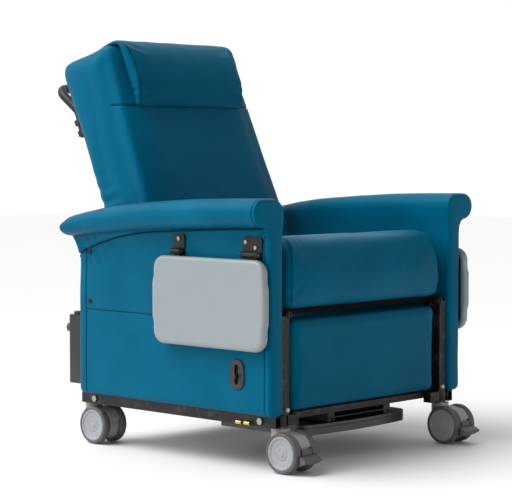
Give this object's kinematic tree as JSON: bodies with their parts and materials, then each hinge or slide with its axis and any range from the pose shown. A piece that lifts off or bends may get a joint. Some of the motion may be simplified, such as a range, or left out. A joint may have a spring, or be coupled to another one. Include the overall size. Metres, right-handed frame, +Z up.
{
  "type": "patient recliner chair",
  "caption": "Wheeled patient recliner with padded arms, reclining back with head pillow and push handle, lifting leg rest, sliding foot tray, swing-up side tables and braked casters.",
  "frame": {"origin": "on the floor, midway between the arms and midway between the brake pedal tips and the push handle", "axes": "+Z up, -Y the way the seated person faces, +X to that person's left"},
  "size_m": [0.856, 1.052, 1.07],
  "materials": {
    "vinyl": "satin",
    "plywood": "matte",
    "black_steel": "satin",
    "bright_steel": "satin",
    "table_grey": "satin",
    "black_plastic": "satin",
    "cream_rubber": "satin",
    "brass": "satin",
    "pedal_grey": "satin",
    "caster_grey": "satin",
    "disc_grey": "satin",
    "tyre": "matte"
  },
  "bodies": {
    "base": {"side_rail_left": "black_steel", "side_rail_right": "black_steel", "front_crossbar": "black_steel", "middle_crossbar": "black_steel", "rear_crossbar": "black_steel", "caster_sockets": "black_steel", "caster_stems": "bright_steel", "front_posts": "black_steel", "post_bumpers": "cream_rubber", "arm_core_left": "plywood", "arm_core_right": "plywood", "arm_left": "vinyl", "arm_right": "vinyl", "rear_panel": "vinyl", "seat_pan": "plywood", "seat_cushion": "vinyl", "back_brackets": "black_steel", "table_brackets": "black_steel", "pivot_pins": "bright_steel", "lever_escutcheon": "black_plastic", "iv_pole_socket": "black_plastic", "iv_pole_clamp_knob": "black_plastic", "press_studs": "black_plastic", "frame_screws": "bright_steel", "cable_ferrules": "brass", "tray_runners": "black_steel"},
    "backrest": {"back_cushion": "vinyl", "back_uprights": "black_steel", "back_crossbars": "black_steel", "back_spring_pin": "bright_steel", "back_skirt": "vinyl", "head_pillow": "vinyl", "push_handle": "black_steel", "handle_clamps": "black_steel"},
    "gas_cylinder": {"gas_spring_cylinder": "black_steel"},
    "gas_rod": {"gas_spring_rod": "bright_steel"},
    "leg_rest": {"leg_rest_arms": "black_steel", "leg_rest_board": "plywood", "leg_rest_pad": "vinyl"},
    "tray": {"foot_tray": "black_plastic", "tray_slides": "black_steel"},
    "table_right_body": {"table_top_right": "table_grey", "table_leaves_right": "black_steel"},
    "table_left_body": {"table_top_left": "table_grey", "table_leaves_left": "black_steel"},
    "lever": {"release_lever": "black_plastic"},
    "caster_front_right": {"caster_front_right_hood": "caster_grey"},
    "wheels_front_right": {"caster_front_right_wheels": "disc_grey", "caster_front_right_tyres": "tyre"},
    "pedal_right": {"brake_pedal_right": "pedal_grey"},
    "caster_front_left": {"caster_front_left_hood": "caster_grey"},
    "wheels_front_left": {"caster_front_left_wheels": "disc_grey", "caster_front_left_tyres": "tyre"},
    "pedal_left": {"brake_pedal_left": "pedal_grey"},
    "caster_rear_right": {"caster_rear_right_hood": "caster_grey"},
    "wheels_rear_right": {"caster_rear_right_wheels": "disc_grey", "caster_rear_right_tyres": "tyre"},
    "caster_rear_left": {"caster_rear_left_hood": "caster_grey"},
    "wheels_rear_left": {"caster_rear_left_wheels": "disc_grey", "caster_rear_left_tyres": "tyre"}
  },
  "joints": [
    {"name": "back_recline", "type": "hinge", "parent": "base", "child": "backrest", "pos_m": [0, 0.081, 0.436], "axis": [-1, 0, 0], "range_deg": [0, 40]},
    {"name": "gas_cylinder_tilt", "type": "hinge", "parent": "base", "child": "gas_cylinder", "pos_m": [0, -0.094, 0.155], "axis": [1, 0, 0], "range_deg": [0, 1.7]},
    {"name": "gas_rod_slide", "type": "slide", "parent": "gas_cylinder", "child": "gas_rod", "axis": [0, 0.6794, 0.7338], "range_m": [-0.043, 0]},
    {"name": "leg_rest_lift", "type": "hinge", "parent": "base", "child": "leg_rest", "pos_m": [0, -0.425, 0.378], "axis": [-1, 0, 0], "range_deg": [0, 85]},
    {"name": "foot_tray_slide", "type": "slide", "parent": "base", "child": "tray", "axis": [0, -1, 0], "range_m": [0, 0.18]},
    {"name": "table_right_swing", "type": "hinge", "parent": "base", "child": "table_right_body", "pos_m": [-0.384, -0.269, 0.524], "axis": [0, 1, 0], "range_deg": [0, 90]},
    {"name": "table_left_swing", "type": "hinge", "parent": "base", "child": "table_left_body", "pos_m": [0.384, -0.269, 0.524], "axis": [0, -1, 0], "range_deg": [0, 90]},
    {"name": "release_lever_lift", "type": "hinge", "parent": "base", "child": "lever", "pos_m": [-0.361, -0.289, 0.232], "axis": [-1, 0, 0], "range_deg": [0, 16], "stiffness_Nm_per_rad": 0.4, "springref_deg": -11.46},
    {"name": "caster_front_right_swivel", "type": "hinge", "parent": "base", "child": "caster_front_right", "pos_m": [-0.314, -0.419, 0.1], "axis": [0, 0, 1], "continuous": true},
    {"name": "wheels_front_right_roll", "type": "hinge", "parent": "caster_front_right", "child": "wheels_front_right", "pos_m": [-0.314, -0.455, 0.05], "axis": [1, 0, 0], "continuous": true},
    {"name": "brake_pedal_right_press", "type": "hinge", "parent": "caster_front_right", "child": "pedal_right", "pos_m": [-0.314, -0.455, 0.05], "axis": [1, 0, 0], "range_deg": [0, 12]},
    {"name": "caster_front_left_swivel", "type": "hinge", "parent": "base", "child": "caster_front_left", "pos_m": [0.314, -0.419, 0.1], "axis": [0, 0, 1], "continuous": true},
    {"name": "wheels_front_left_roll", "type": "hinge", "parent": "caster_front_left", "child": "wheels_front_left", "pos_m": [0.314, -0.455, 0.05], "axis": [1, 0, 0], "continuous": true},
    {"name": "brake_pedal_left_press", "type": "hinge", "parent": "caster_front_left", "child": "pedal_left", "pos_m": [0.314, -0.455, 0.05], "axis": [1, 0, 0], "range_deg": [0, 12]},
    {"name": "caster_rear_right_swivel", "type": "hinge", "parent": "base", "child": "caster_rear_right", "pos_m": [-0.314, 0.255, 0.1], "axis": [0, 0, 1], "continuous": true},
    {"name": "wheels_rear_right_roll", "type": "hinge", "parent": "caster_rear_right", "child": "wheels_rear_right", "pos_m": [-0.314, 0.219, 0.05], "axis": [1, 0, 0], "continuous": true},
    {"name": "caster_rear_left_swivel", "type": "hinge", "parent": "base", "child": "caster_rear_left", "pos_m": [0.314, 0.255, 0.1], "axis": [0, 0, 1], "continuous": true},
    {"name": "wheels_rear_left_roll", "type": "hinge", "parent": "caster_rear_left", "child": "wheels_rear_left", "pos_m": [0.314, 0.219, 0.05], "axis": [1, 0, 0], "continuous": true}
  ],
  "couplings": [
    {"joint": "gas_cylinder_tilt", "follows": "back_recline", "ratio": 0.03953},
    {"joint": "gas_rod_slide", "follows": "back_recline", "m_per_rad": -0.06017}
  ]
}
